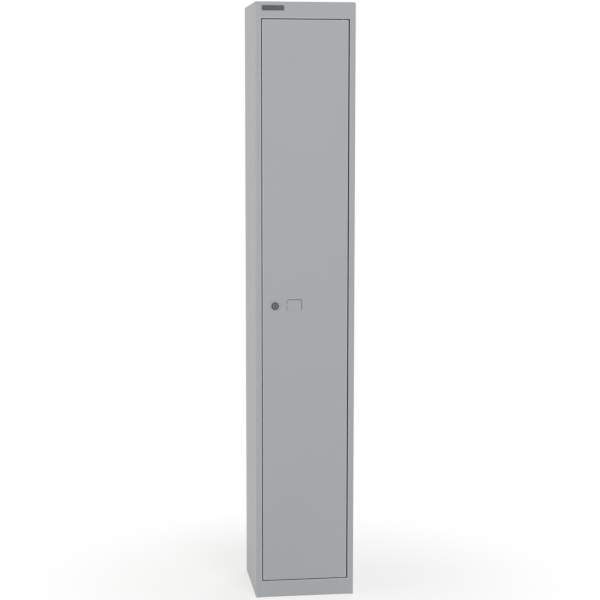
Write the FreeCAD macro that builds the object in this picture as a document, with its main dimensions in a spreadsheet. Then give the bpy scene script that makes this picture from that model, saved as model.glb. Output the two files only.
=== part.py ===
import FreeCAD, Part
import math
import os
import re
from typing import NamedTuple

import Sketcher

# Driving dimensions in millimetres: alias, value, what it measures.
SIZES = (
    ("width", 300, "carcass, side to side"),
    ("depth", 300, "carcass, front face to rear face"),
    ("height", 1800, "floor to top of the cap"),
    ("sheet", 0.9, "steel of the carcass and door"),
    ("bend", 3.5, "outer radius of the large folds"),
    ("fold", 1.5, "outer radius of the small folds"),
    ("seam", 0.2, "clearance between parts that lie side by side"),
    ("stile", 18, "front stile, outer side to opening"),
    ("header", 49, "header above the opening"),
    ("plinth", 51, "plinth below the opening"),
    ("butt_land", 1, "flat of the stile between its fold and the rails"),
    ("stop_lip", 12, "stop lip beside the opening"),
    ("rear_flange", 20, "rear flange of a side panel"),
    ("rail_margin", 1.6, "rails reach behind the stop lip by this"),
    ("rail_lip", 12, "stiffening lip of the rails"),
    ("rail_foot", 20, "foot flange under the plinth"),
    ("tab_lap", 10, "weld tab behind the rail"),
    ("tab_clear", 1, "weld tab short of the corner fold"),
    ("tab_inset", 8, "weld tab short of the rail's edges"),
    ("cap_skirt", 4, "skirt of the cap"),
    ("cap_bend", 3, "outer radius of the cap's edges"),
    ("cap_flange", 12, "inner flange of the cap below its skirt"),
    ("floor_flange", 15, "turned-down flanges of the floor panel"),
    ("back_lift", 2, "back panel above the ground"),
    ("wall_hole", 8, "wall-fixing hole, diameter"),
    ("wall_span", 200, "wall-fixing holes, centre to centre"),
    ("wall_drop", 100, "wall-fixing holes below the top"),
    ("gap", 2.5, "door gap at the lock side, top and bottom"),
    ("swing_clear", 1, "door corner clear of the jamb as it swings"),
    ("sweep_clear", 2.4, "door edge clear of the hinge-side lip"),
    ("door_thick", 20, "door, front to rear"),
    ("door_fold", 2, "outer radius of the door's folds"),
    ("door_lip", 14, "rear lip round the door"),
    ("stop_gap", 2.5, "closed door to stop lip"),
    ("pivot_in", 15, "hinge axis from the door's edge"),
    ("pivot_back", 9, "hinge axis behind the front face"),
    ("pin_wide", 6, "hinge pin, diameter"),
    ("pin_fit", 0.05, "hinge pin to bush, radial"),
    ("pin_head_wide", 10, "hinge pin head, diameter"),
    ("pin_head_thick", 2, "hinge pin head"),
    ("pin_reach", 14, "hinge pin inside the door"),
    ("pin_point", 1, "chamfer on the pin's end"),
    ("shoulder_wide", 12, "shoulder of the lower pin, diameter"),
    ("bush_wide", 10, "bush, diameter"),
    ("bush_long", 10, "bush inside the door"),
    ("rim_wide", 14, "rim of the bush, diameter"),
    ("rim_thick", 1.2, "rim of the bush"),
    ("rim_float", 0.1, "bush rim above the pin's shoulder"),
    ("hinge_plate", 2, "pivot and hinge plates, thickness"),
    ("plate_reach", 25, "pivot and hinge plates past the axis"),
    ("plate_clear", 1.6, "plates short of the folds"),
    ("plate_web", 0.4, "least of a hinge plate beside its bush hole"),
    ("hole_clear", 0.1, "hole round a fixed pin, radial"),
    ("stiff_offset", 45, "stiffener's middle, right of the door's"),
    ("stiff_wide", 34, "stiffener's crown"),
    ("stiff_high", 14, "stiffener, front to rear"),
    ("stiff_foot", 18, "stiffener's weld flanges"),
    ("stiff_inset", 65, "stiffener short of the door's ends"),
    ("card_offset", 35.5, "card cut-out's left edge from the lock axis"),
    ("card_rise", 2.5, "card cut-out's middle above the lock axis"),
    ("card_wide", 46, "card cut-out, width"),
    ("card_high", 33, "card cut-out, height"),
    ("card_round", 5, "card cut-out, corner radius"),
    ("card_slit", 1.4, "open slit round the free edges of the card holder"),
    ("card_return", 12, "slit down and up the card holder's left edge"),
    ("card_snug", 0.2, "clearance at the fixed edges of the card holder"),
    ("card_sink", 0.2, "card holder behind the door's face"),
    ("card_flange", 4, "card holder's rear flange beyond the cut-out"),
    ("card_thick", 1, "card holder's rear flange, thickness"),
    ("field_margin", 4.5, "label field inside the card holder's edge"),
    ("field_deep", 0.5, "label field below the card holder's face"),
    ("field_round", 1.5, "label field, corner radius"),
    ("lock_in", 38, "lock axis from the door's edge"),
    ("lock_height", 900, "lock axis above the ground"),
    ("bezel_wide", 22, "lock bezel, diameter"),
    ("bezel_proud", 5, "lock bezel in front of the door"),
    ("bezel_round", 1.6, "rounding of the bezel's rim"),
    ("barrel_wide", 16, "lock barrel, diameter"),
    ("barrel_flat", 14, "lock barrel across its flats"),
    ("plug_wide", 11.5, "lock plug, diameter"),
    ("plug_face", 15, "lock plug's face, diameter"),
    ("plug_face_thick", 2, "lock plug's face"),
    ("plug_sink", 0.5, "plug face behind the bezel's rim"),
    ("plug_round", 0.6, "rounding of the plug face's rim"),
    ("plug_fit", 0.05, "plug to barrel, radial"),
    ("key_wide", 2.4, "keyway, width"),
    ("key_high", 8, "keyway, height"),
    ("key_deep", 23, "keyway, depth"),
    ("wafer_wide", 7, "wafer, width"),
    ("wafer_high", 9, "wafer, height"),
    ("wafer_thick", 0.8, "wafer, thickness"),
    ("wafer_window", 6, "wafer window, height"),
    ("wafer_pitch", 3.2, "wafer to wafer"),
    ("wafer_fit", 0.05, "wafer in its slot, each side"),
    ("wafer_start", 3, "first wafer behind the plug's face disc"),
    ("washer_wide", 25, "lock washer, diameter"),
    ("washer_thick", 0.8, "lock washer"),
    ("nut_flats", 22, "lock nut across its flats"),
    ("nut_thick", 3, "lock nut"),
    ("cam_clear", 0.6, "cam behind the barrel and the stop lip"),
    ("cam_thick", 2, "lock cam"),
    ("cam_wide", 15, "lock cam, width"),
    ("cam_reach", 36, "lock cam, axis to tip"),
    ("cam_tail", 8, "lock cam, axis to its short end"),
    ("cam_round", 5, "lock cam, corner radius"),
    ("tail_square", 6, "square tail of the plug"),
    ("tail_fit", 0.05, "cam round the square tail, each side"),
    ("screw_wide", 4, "cam screw, diameter"),
    ("screw_head", 9, "cam screw head, diameter"),
    ("screw_head_thick", 2.4, "cam screw head"),
    ("screw_long", 8, "cam screw in the plug"),
    ("hat_space", 350, "top of the hat shelf below the top of the cap"),
    ("shelf_gap", 4, "shelf behind the hinge-side lip"),
    ("shelf_clear", 1, "shelf short of the walls"),
    ("shelf_lip", 25, "front lip of the shelf"),
    ("shelf_hem", 8, "hem under the shelf's front lip"),
    ("shelf_rear", 15, "rear lip of the shelf"),
    ("runner_leg", 15, "shelf runner's legs"),
    ("runner_thick", 1.5, "shelf runner's steel"),
    ("runner_short", 3, "runner short of the shelf's lips"),
    ("rivet_wide", 4, "rivet shank, diameter"),
    ("rivet_head", 8, "rivet head, diameter"),
    ("rivet_dome", 1.8, "rivet head, height"),
    ("rivet_round", 1.4, "rounding of the rivet head"),
    ("rivet_tail", 1.4, "rivet's formed end, height"),
    ("rivet_tail_wide", 6, "rivet's formed end, diameter"),
    ("rivet_inset", 30, "shelf rivets from the runner's ends"),
    ("rivet_edge", 9, "shelf rivets from the wall"),
    ("hook_long", 52, "hook plate, length"),
    ("hook_broad", 20, "hook plate, width"),
    ("hook_plate", 2, "hook plate, thickness"),
    ("hook_corner", 4, "hook plate, corner radius"),
    ("hook_pitch", 36, "hook rivets, centre to centre"),
    ("hook_rod", 7, "hook rod, diameter"),
    ("hook_radius", 22, "hook's curve, to the rod's middle"),
    ("hook_drop", 26, "hook's curve centre below the plate"),
    ("hook_ball", 10, "ball on the hook's tips, diameter"),
    ("label_in", 20, "label plate from the left side"),
    ("label_wide", 66, "label plate, width"),
    ("label_high", 15, "label plate, height"),
    ("label_drop", 18.5, "label plate's middle below the top"),
    ("label_thick", 1, "label plate"),
    ("label_round", 3, "label plate, corner radius"),
    ("label_edge", 0.4, "rounding of the label plate's edge"),
    ("buffer_wide", 8, "door buffer, diameter"),
    ("buffer_clear", 0.3, "door buffer to the closed door"),
    ("buffer_stem", 4, "door buffer's stem, diameter"),
    ("buffer_bulb", 6, "door buffer's bulb, diameter"),
    ("buffer_bulb_thick", 1.5, "door buffer's bulb"),
    ("buffer_inset", 160, "door buffers from the opening's ends"),
)

WAFERS = 5
NEAR = 1e-4

# Places in the frame: X to the right, Y to the rear, Z up, origin on the ground below the middle.
SIDE = "(width / 2)"
SIDE_IN = "(width / 2 - sheet)"
FRONT = "(-depth / 2)"
FRONT_IN = "(-depth / 2 + sheet)"
REAR = "(depth / 2)"
REAR_IN = "(depth / 2 - sheet)"
BACK_FACE = "(depth / 2 - 2 * sheet)"
WALL_TOP = "(height - cap_skirt)"
OPEN_SIDE = "(width / 2 - stile)"
OPEN_LOW = "plinth"
OPEN_HIGH = "(height - header)"
RAIL_END = "(width / 2 - stile + fold + butt_land)"

# Door and its hinge axis
HINGE_GAP = "(sqrt(pivot_in * pivot_in + pivot_back * pivot_back) - pivot_in + swing_clear)"
DOOR_LEFT = f"(-{OPEN_SIDE} + gap)"
DOOR_RIGHT = f"({OPEN_SIDE} - {HINGE_GAP})"
DOOR_LOW = f"({OPEN_LOW} + gap)"
DOOR_HIGH = f"({OPEN_HIGH} - gap)"
DOOR_REAR = f"({FRONT} + door_thick)"
PIVOT_X = f"({DOOR_RIGHT} - pivot_in)"
PIVOT_Y = f"({FRONT} + pivot_back)"
SWEEP = "sqrt(pivot_in * pivot_in + (door_thick - pivot_back) * (door_thick - pivot_back))"

# Stop lips and the rails behind them
LOCK_LIP = f"({DOOR_REAR} + stop_gap)"
LOCK_LIP_BACK = f"({LOCK_LIP} + sheet)"
HINGE_LIP = f"({PIVOT_Y} + {SWEEP} + sweep_clear)"
RAIL_BACK = f"({LOCK_LIP_BACK} + rail_margin)"

# Lock axis and the faces along it
LOCK_X = f"({DOOR_LEFT} + lock_in)"
LOCK_Z = "lock_height"
BEZEL_FACE = f"({FRONT} - bezel_proud)"
PLUG_FACE = f"({BEZEL_FACE} + plug_sink)"
PLUG_STEP = f"({PLUG_FACE} + plug_face_thick)"
NUT_SEAT = f"({FRONT_IN} + washer_thick)"
CAM_FACE = f"({LOCK_LIP_BACK} + cam_clear)"
CAM_BACK = f"({CAM_FACE} + cam_thick)"

# Hat shelf and the hook below it
SHELF_FRONT = f"({HINGE_LIP} + sheet + shelf_gap)"
SHELF_REAR = f"({BACK_FACE} - shelf_clear)"
SHELF_TOP = "(height - hat_space)"
SHELF_UNDER = f"({SHELF_TOP} - sheet)"
RUNNER_FRONT = f"({SHELF_FRONT} + shelf_hem + runner_short)"
RUNNER_REAR = f"({SHELF_REAR} - sheet - runner_short)"
HOOK_Y = f"(({SHELF_FRONT} + {SHELF_REAR}) / 2)"
HOOK_FACE = f"({SHELF_UNDER} - hook_plate)"
HOOK_CENTRE = f"({HOOK_FACE} - hook_drop)"
RIVET_HOLE = "(rivet_wide / 2 + hole_clear)"


class Circle(NamedTuple):
    """Closed circle of a sketch: centre and radius as expressions."""

    x: str
    y: str
    radius: str


doc = FreeCAD.newDocument("metal_locker")
sizes = doc.addObject("Spreadsheet::Sheet", "Sizes")
for row, (alias, number, meaning) in enumerate(SIZES, start=1):
    sizes.set(f"A{row}", meaning)
    sizes.set(f"B{row}", str(number))
    sizes.setAlias(f"B{row}", alias)
doc.recompute()
sub_parts = []


def cells(text):
    """Write each size that an expression names as its cell of the sheet."""
    return re.sub(r"\b[a-z]\w*\b(?!\()", r"Sizes.\g<0>", text)


def value(text):
    """Work out an expression with the sheet's present sizes."""
    return float(sizes.evalExpression(cells(text)))


def new_body(label):
    """Start a sub-part; its solids may stand apart when it is a set of like pieces."""
    body = doc.addObject("PartDesign::Body", label)
    body.Label = label
    body.AllowCompound = True
    sub_parts.append(body)
    return body


def attach(body, feature, plane, offset):
    """Lay a sketch or primitive on one of its body's own origin planes."""
    role = f"{plane}_Plane"
    support = next(item for item in body.Origin.OriginFeatures if item.Role == role)
    feature.AttachmentSupport = (support, [""])
    feature.MapMode = "FlatFace"
    feature.setExpression("AttachmentOffset.Base.z", cells(offset))


def constrain(sketch, rules):
    """Add constraints and bind those that carry an expression."""
    indices = sketch.addConstraint([rule for rule, text in rules])
    for index, (rule, text) in zip(indices, rules):
        if text is not None:
            sketch.setExpression(f"Constraints[{index}]", cells(text))


def from_origin(kind, line, end, text):
    """Distance rule along one sketch axis, from the origin to the end of a line."""
    return Sketcher.Constraint(kind, -1, 1, line, end, value(text)), text


def draw_outline(sketch, corners):
    """Draw a closed outline; a corner is (x, y) or, between level and upright lines, (x, y, radius)."""
    corners = [(corner + (None,))[:3] for corner in corners]
    count = len(corners)
    points = [FreeCAD.Vector(value(x), value(y)) for x, y, radius in corners]
    radii = [value(radius) if radius else 0 for x, y, radius in corners]
    ways = [(points[(i + 1) % count] - points[i]).normalize() for i in range(count)]
    first = sketch.GeometryCount
    for i in range(count):
        after = (i + 1) % count
        start = points[i] + ways[i] * radii[i]
        stop = points[after] - ways[i] * radii[after]
        sketch.addGeometry(Part.LineSegment(start, stop), False)
    rules = []
    for i in range(count):
        x, y, radius = corners[i]
        before = first + (i - 1) % count
        upright = [corners[i - 1][0] == x, x == corners[(i + 1) % count][0]]
        level = [corners[i - 1][1] == y, y == corners[(i + 1) % count][1]]
        if upright[1]:
            rules.append((Sketcher.Constraint("Vertical", first + i), None))
            rules.append(from_origin("DistanceX", first + i, 1, x))
        if level[1]:
            rules.append((Sketcher.Constraint("Horizontal", first + i), None))
            rules.append(from_origin("DistanceY", first + i, 1, y))
        if radius is None:
            rules.append((Sketcher.Constraint("Coincident", before, 2, first + i, 1), None))
            if not any(upright):
                rules.append(from_origin("DistanceX", first + i, 1, x))
            if not any(level):
                rules.append(from_origin("DistanceY", first + i, 1, y))
        else:
            rules += draw_corner(sketch, points[i], ways[i - 1], ways[i], radius, before, first + i)
    constrain(sketch, rules)


def draw_corner(sketch, corner, way_in, way_out, radius, line_in, line_out):
    """Round a square corner with an arc tangent to its two lines, and give the arc's rules."""
    size = value(radius)
    centre = corner + (way_out - way_in) * size
    turns_left = way_in.x * way_out.y - way_in.y * way_out.x > 0
    start, stop = (-way_out, way_in) if turns_left else (way_in, -way_out)
    angle = math.atan2(start.y, start.x)
    sweep = (math.atan2(stop.y, stop.x) - angle) % (2 * math.pi)
    circle = Part.Circle(centre, FreeCAD.Vector(0, 0, 1), size)
    arc = sketch.addGeometry(Part.ArcOfCircle(circle, angle, angle + sweep), False)
    end_in, end_out = (1, 2) if turns_left else (2, 1)
    return [
        (Sketcher.Constraint("Tangent", line_in, 2, arc, end_in), None),
        (Sketcher.Constraint("Tangent", arc, end_out, line_out, 1), None),
        (Sketcher.Constraint("Radius", arc, size), radius),
    ]


def draw_circle(sketch, circle):
    """Draw a circle with its centre and radius bound to their expressions."""
    centre = FreeCAD.Vector(value(circle.x), value(circle.y))
    size = value(circle.radius)
    ring = sketch.addGeometry(Part.Circle(centre, FreeCAD.Vector(0, 0, 1), size), False)
    constrain(sketch, [
        from_origin("DistanceX", ring, 3, circle.x),
        from_origin("DistanceY", ring, 3, circle.y),
        (Sketcher.Constraint("Radius", ring, size), circle.radius),
    ])


def new_sketch(body, name, plane, offset, shapes):
    """Make a sketch of circles and outlines on an origin plane."""
    sketch = body.newObject("Sketcher::SketchObject", f"{body.Name}_{name}_sketch")
    attach(body, sketch, plane, offset)
    for shape in shapes:
        if isinstance(shape, Circle):
            draw_circle(sketch, shape)
        else:
            draw_outline(sketch, shape)
    return sketch


def pad(body, name, plane, low, high, *shapes):
    """Add material between two places on the axis that the plane faces."""
    offset = f"-{high}" if plane == "XZ" else low
    feature = body.newObject("PartDesign::Pad", f"{body.Name}_{name}")
    feature.Profile = new_sketch(body, name, plane, offset, shapes)
    feature.setExpression("Length", cells(f"{high} - {low}"))
    body.Tip = feature
    doc.recompute()


def cut(body, name, plane, low, high, *shapes):
    """Take material away between two places, and make sure that some went."""
    volume = body.Shape.Volume
    offset = f"-{low}" if plane == "XZ" else high
    feature = body.newObject("PartDesign::Pocket", f"{body.Name}_{name}")
    feature.Profile = new_sketch(body, name, plane, offset, shapes)
    feature.setExpression("Length", cells(f"{high} - {low}"))
    body.Tip = feature
    doc.recompute()
    if body.Shape.Volume >= volume:
        raise ValueError(f"{body.Label}: {name} cuts nothing")


def edges_at(shape, places):
    """Names of the edges that lie flat at every one of the given places."""
    names = []
    for number, edge in enumerate(shape.Edges, start=1):
        box = edge.BoundBox
        limits = {"x": (box.XMin, box.XMax), "y": (box.YMin, box.YMax), "z": (box.ZMin, box.ZMax)}
        offsets = [limit - value(text) for axis, text in places.items() for limit in limits[axis]]
        if max(abs(offset) for offset in offsets) < NEAR:
            names.append(f"Edge{number}")
    return names


def round_edges(body, name, radius, *places):
    """Fillet the edges that lie at any of the given sets of places."""
    base = body.Tip
    names = [edge for place in places for edge in edges_at(base.Shape, place)]
    if not names:
        raise ValueError(f"{body.Label}: {name} finds no edge")
    feature = body.newObject("PartDesign::Fillet", f"{body.Name}_{name}")
    feature.Base = (base, sorted(set(names)))
    feature.setExpression("Radius", cells(radius))
    body.Tip = feature
    doc.recompute()


def rectangle(x_low, y_low, x_high, y_high, radius=None):
    """Outline of a rectangle with equal corners."""
    return [
        (x_low, y_low, radius),
        (x_high, y_low, radius),
        (x_high, y_high, radius),
        (x_low, y_high, radius),
    ]


def inset(text, amount):
    """Expression of a place moved down its axis by a distance."""
    return f"({text} - {amount})"


def outset(text, amount):
    """Expression of a place moved up its axis by a distance."""
    return f"({text} + {amount})"


def buffer_heights():
    """Heights of the two door buffers."""
    return f"({OPEN_LOW} + buffer_inset)", f"({OPEN_HIGH} - buffer_inset)"


def side_panel(label, sign, lip):
    """Fold one sheet into side, rear flange, front stile, jamb and stop lip."""
    body = new_body(label)
    outer = f"{sign} * {SIDE}"
    inner = f"{sign} * {SIDE_IN}"
    butt = f"{sign} * {RAIL_END}"
    flange = f"{sign} * (width / 2 - rear_flange)"
    pad(body, "wall", "XY", "0", WALL_TOP, [
        (flange, REAR),
        (outer, REAR, "bend"),
        (outer, FRONT, "bend"),
        (butt, FRONT),
        (butt, FRONT_IN),
        (inner, FRONT_IN, "(bend - sheet)"),
        (inner, REAR_IN, "(bend - sheet)"),
        (flange, REAR_IN),
    ])
    jamb = f"{sign} * {OPEN_SIDE}"
    jamb_in = f"{sign} * ({OPEN_SIDE} + sheet)"
    lip_end = f"{sign} * ({OPEN_SIDE} - stop_lip)"
    lip_back = outset(lip, "sheet")
    pad(body, "jamb", "XY", OPEN_LOW, OPEN_HIGH, [
        (butt, FRONT),
        (jamb, FRONT, "fold"),
        (jamb, lip, "(fold - sheet)"),
        (lip_end, lip),
        (lip_end, lip_back),
        (jamb_in, lip_back, "fold"),
        (jamb_in, FRONT_IN, "(fold - sheet)"),
        (butt, FRONT_IN),
    ])
    return body


def left_side_panel():
    """Lock-side panel, its stop lip pierced for the door buffers."""
    body = side_panel("left_side_panel", "-1", LOCK_LIP)
    holes = [buffer_circle(z, "(buffer_stem / 2 + hole_clear)") for z in buffer_heights()]
    cut(body, "buffer_holes", "XZ", LOCK_LIP, LOCK_LIP_BACK, *holes)


def buffer_circle(z, radius):
    """Circle about a door buffer's axis on the middle of the lock-side lip."""
    return Circle(f"(-{OPEN_SIDE} + stop_lip / 2)", z, radius)


def right_side_panel():
    """Hinge-side panel, its lip set back beyond the door's sweep."""
    side_panel("right_side_panel", "1", HINGE_LIP)


def back_panel():
    """Flat sheet behind the rear flanges, with the wall-fixing holes."""
    body = new_body("back_panel")
    edge = "(width / 2 - bend)"
    top = f"({WALL_TOP} - cap_flange - seam)"
    hole_height = "(height - wall_drop)"
    holes = [Circle(f"{sign} * wall_span / 2", hole_height, "wall_hole / 2") for sign in ("-1", "1")]
    pad(body, "sheet", "XZ", BACK_FACE, REAR_IN, rectangle(f"-{edge}", "back_lift", edge, top), *holes)


def top_panel():
    """Cap with rounded edges, a short skirt and an inner flange inside the walls."""
    body = new_body("top_panel")
    pad(body, "cap", "XY", WALL_TOP, "height", rectangle(f"-{SIDE}", FRONT, SIDE, REAR, "bend"))
    cut(body, "hollow", "XY", WALL_TOP, "(height - sheet)",
        rectangle(f"-{SIDE_IN}", FRONT_IN, SIDE_IN, REAR_IN, "(bend - sheet)"))
    round_edges(body, "inner_fold", "cap_bend - sheet", {"z": "(height - sheet)"})
    round_edges(body, "outer_fold", "cap_bend", {"z": "height"})
    outer = inset(SIDE_IN, "seam")
    inner = inset(outer, "sheet")
    front = outset(FRONT_IN, "seam")
    front_in = outset(front, "sheet")
    rear = inset(REAR_IN, "seam")
    rear_in = inset(rear, "sheet")
    pad(body, "flange", "XY", f"({WALL_TOP} - cap_flange)", "(height - sheet)",
        rectangle(f"-{outer}", front, outer, rear, "bend"),
        rectangle(f"-{inner}", front_in, inner, rear_in, "(bend - sheet)"))


def floor_panel():
    """Compartment floor with flanges turned down on all four sides."""
    body = new_body("floor_panel")
    low = f"({OPEN_LOW} - floor_flange)"
    under = f"({OPEN_LOW} - sheet)"
    pad(body, "tray", "XY", low, OPEN_LOW, rectangle(f"-{SIDE_IN}", RAIL_BACK, SIDE_IN, BACK_FACE, "bend"))
    inner = inset(SIDE_IN, "sheet")
    front_in = outset(RAIL_BACK, "sheet")
    rear_in = inset(BACK_FACE, "sheet")
    cut(body, "hollow", "XY", low, under, rectangle(f"-{inner}", front_in, inner, rear_in, "(bend - sheet)"))
    round_edges(body, "inner_fold", "fold - sheet", {"z": under})
    round_edges(body, "outer_fold", "fold", {"z": OPEN_LOW})


def weld_tabs(body, low, high):
    """Tabs that carry a rail behind both stiles."""
    for name, sign in (("left_tab", "-1"), ("right_tab", "1")):
        start = f"{sign} * ({RAIL_END} - tab_lap)"
        end = f"{sign} * ({SIDE} - bend - tab_clear)"
        pad(body, name, "XZ", FRONT_IN, outset(FRONT_IN, "sheet"), rectangle(start, low, end, high))


def pivot_circle(diameter, clearance="0"):
    """Circle about the hinge axis, with a radial clearance."""
    return Circle(PIVOT_X, PIVOT_Y, f"({diameter} / 2 + {clearance})")


def header_rail():
    """Front rail above the door, folded back over the opening."""
    body = new_body("header_rail")
    lip_top = f"({OPEN_HIGH} + rail_lip)"
    inside = f"({OPEN_HIGH} + sheet)"
    lip_in = inset(RAIL_BACK, "sheet")
    pad(body, "rail", "YZ", f"-{RAIL_END}", RAIL_END, [
        (FRONT, WALL_TOP),
        (FRONT, OPEN_HIGH, "fold"),
        (RAIL_BACK, OPEN_HIGH, "fold"),
        (RAIL_BACK, lip_top),
        (lip_in, lip_top),
        (lip_in, inside, "(fold - sheet)"),
        (FRONT_IN, inside, "(fold - sheet)"),
        (FRONT_IN, WALL_TOP),
    ])
    weld_tabs(body, f"({OPEN_HIGH} + tab_inset)", f"({WALL_TOP} - cap_flange - tab_inset)")
    cut(body, "pin_hole", "XY", OPEN_HIGH, inside, pivot_circle("pin_wide", "hole_clear"))


def plinth_rail():
    """Front rail below the door, folded back as the sill and under as the foot."""
    body = new_body("plinth_rail")
    lip_low = f"({OPEN_LOW} - rail_lip)"
    inside = f"({OPEN_LOW} - sheet)"
    lip_in = inset(RAIL_BACK, "sheet")
    foot_end = outset(FRONT, "rail_foot")
    pad(body, "rail", "YZ", f"-{RAIL_END}", RAIL_END, [
        (foot_end, "0"),
        (FRONT, "0", "bend"),
        (FRONT, OPEN_LOW, "fold"),
        (RAIL_BACK, OPEN_LOW, "fold"),
        (RAIL_BACK, lip_low),
        (lip_in, lip_low),
        (lip_in, inside, "(fold - sheet)"),
        (FRONT_IN, inside, "(fold - sheet)"),
        (FRONT_IN, "sheet", "(bend - sheet)"),
        (foot_end, "sheet"),
    ])
    weld_tabs(body, "tab_inset", f"({OPEN_LOW} - tab_inset)")
    cut(body, "pin_hole", "XY", inside, OPEN_LOW, pivot_circle("pin_wide", "hole_clear"))


def shelf_rivet_circles(sign, radius):
    """Circles about the rivets of one runner."""
    x = f"{sign} * ({SIDE_IN} - rivet_edge)"
    return [
        Circle(x, f"({RUNNER_FRONT} + rivet_inset)", radius),
        Circle(x, f"({RUNNER_REAR} - rivet_inset)", radius),
    ]


def all_shelf_rivet_circles(radius):
    """Circles about the rivets of both runners."""
    return shelf_rivet_circles("-1", radius) + shelf_rivet_circles("1", radius)


def hook_rivet_circles(radius):
    """Circles about the rivets of the coat hook."""
    return [Circle(f"{sign} * hook_pitch / 2", HOOK_Y, radius) for sign in ("-1", "1")]


def hat_shelf():
    """Shelf folded down and hemmed at its front, and folded down at its rear."""
    body = new_body("hat_shelf")
    end = inset(SIDE_IN, "shelf_clear")
    lip_low = inset(SHELF_TOP, "shelf_lip")
    hem_end = outset(SHELF_FRONT, "shelf_hem")
    front_in = outset(SHELF_FRONT, "sheet")
    rear_low = inset(SHELF_TOP, "shelf_rear")
    rear_in = inset(SHELF_REAR, "sheet")
    pad(body, "shelf", "YZ", f"-{end}", end, [
        (hem_end, lip_low),
        (SHELF_FRONT, lip_low, "fold"),
        (SHELF_FRONT, SHELF_TOP, "fold"),
        (SHELF_REAR, SHELF_TOP, "fold"),
        (SHELF_REAR, rear_low),
        (rear_in, rear_low),
        (rear_in, SHELF_UNDER, "(fold - sheet)"),
        (front_in, SHELF_UNDER, "(fold - sheet)"),
        (front_in, outset(lip_low, "sheet"), "(fold - sheet)"),
        (hem_end, outset(lip_low, "sheet")),
    ])
    holes = all_shelf_rivet_circles(RIVET_HOLE) + hook_rivet_circles(RIVET_HOLE)
    cut(body, "rivet_holes", "XY", SHELF_UNDER, SHELF_TOP, *holes)


def shelf_runner(label, sign):
    """Angle on a side wall that carries one end of the shelf."""
    body = new_body(label)
    wall = f"{sign} * {SIDE_IN}"
    wall_in = f"{sign} * ({SIDE_IN} - runner_thick)"
    end = f"{sign} * ({SIDE_IN} - runner_leg)"
    low = inset(SHELF_UNDER, "runner_leg")
    under = inset(SHELF_UNDER, "runner_thick")
    pad(body, "angle", "XZ", RUNNER_FRONT, RUNNER_REAR, [
        (wall, SHELF_UNDER),
        (end, SHELF_UNDER),
        (end, under),
        (wall_in, under),
        (wall_in, low),
        (wall, low),
    ])
    round_edges(body, "inner_fold", "fold", {"x": wall_in, "z": under})
    cut(body, "rivet_holes", "XY", under, SHELF_UNDER, *shelf_rivet_circles(sign, RIVET_HOLE))


def rivets(label, circles, under):
    """Set of rivets through the shelf and what lies under it: domed heads above, formed ends below."""
    body = new_body(label)
    dome_top = outset(SHELF_TOP, "rivet_dome")
    tail_low = f"({under} - rivet_tail)"
    pad(body, "shanks", "XY", tail_low, SHELF_TOP, *circles("rivet_wide / 2"))
    pad(body, "heads", "XY", SHELF_TOP, dome_top, *circles("rivet_head / 2"))
    pad(body, "ends", "XY", tail_low, under, *circles("rivet_tail_wide / 2"))
    round_edges(body, "domes", "rivet_round", {"z": dome_top})


def coat_hook():
    """Anchor-shaped hook: plate under the shelf, stem, curved rod and two balls."""
    body = new_body("coat_hook")
    plate = rectangle("-hook_long / 2", f"({HOOK_Y} - hook_broad / 2)",
                      "hook_long / 2", f"({HOOK_Y} + hook_broad / 2)", "hook_corner")
    rod = Circle("0", HOOK_Y, "hook_rod / 2")
    pad(body, "plate", "XY", HOOK_FACE, SHELF_UNDER, plate, *hook_rivet_circles(RIVET_HOLE))
    pad(body, "stem", "XY", f"({HOOK_CENTRE} - hook_radius)", HOOK_FACE, rod)
    section = new_sketch(body, "rod_section", "XY", HOOK_CENTRE, [rod._replace(x="-hook_radius")])
    pipe = body.newObject("PartDesign::AdditivePipe", f"{body.Name}_rod")
    pipe.Profile = section
    pipe.Spine = (hook_curve(body), ["Edge1"])
    body.Tip = pipe
    doc.recompute()
    for name, x in (("left_ball", "-hook_radius"), ("right_ball", "hook_radius")):
        ball = body.newObject("PartDesign::AdditiveSphere", f"{body.Name}_{name}")
        attach(body, ball, "XY", HOOK_CENTRE)
        ball.setExpression("AttachmentOffset.Base.x", cells(x))
        ball.setExpression("AttachmentOffset.Base.y", cells(HOOK_Y))
        ball.setExpression("Radius", cells("hook_ball / 2"))
        body.Tip = ball
        doc.recompute()


def hook_curve(body):
    """Half circle that the hook's rod follows."""
    sketch = new_sketch(body, "curve", "XZ", f"-{HOOK_Y}", [])
    size = value("hook_radius")
    circle = Part.Circle(FreeCAD.Vector(0, value(HOOK_CENTRE)), FreeCAD.Vector(0, 0, 1), size)
    arc = sketch.addGeometry(Part.ArcOfCircle(circle, math.pi, 2 * math.pi), False)
    constrain(sketch, [
        from_origin("DistanceX", arc, 3, "0"),
        from_origin("DistanceY", arc, 3, HOOK_CENTRE),
        (Sketcher.Constraint("Radius", arc, size), "hook_radius"),
        (Sketcher.Constraint("Horizontal", arc, 1, arc, 3), None),
        (Sketcher.Constraint("Horizontal", arc, 2, arc, 3), None),
    ])
    return sketch


def label_plate():
    """Blank plate on the header's left."""
    body = new_body("label_plate")
    left = f"(-{SIDE} + label_in)"
    middle = "(height - label_drop)"
    face = f"({FRONT} - label_thick)"
    low = inset(middle, "label_high / 2")
    high = outset(middle, "label_high / 2")
    right = outset(left, "label_wide")
    pad(body, "plate", "XZ", face, FRONT, rectangle(left, low, right, high, "label_round"))
    round_edges(body, "edge", "label_edge", {"y": face})


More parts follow.
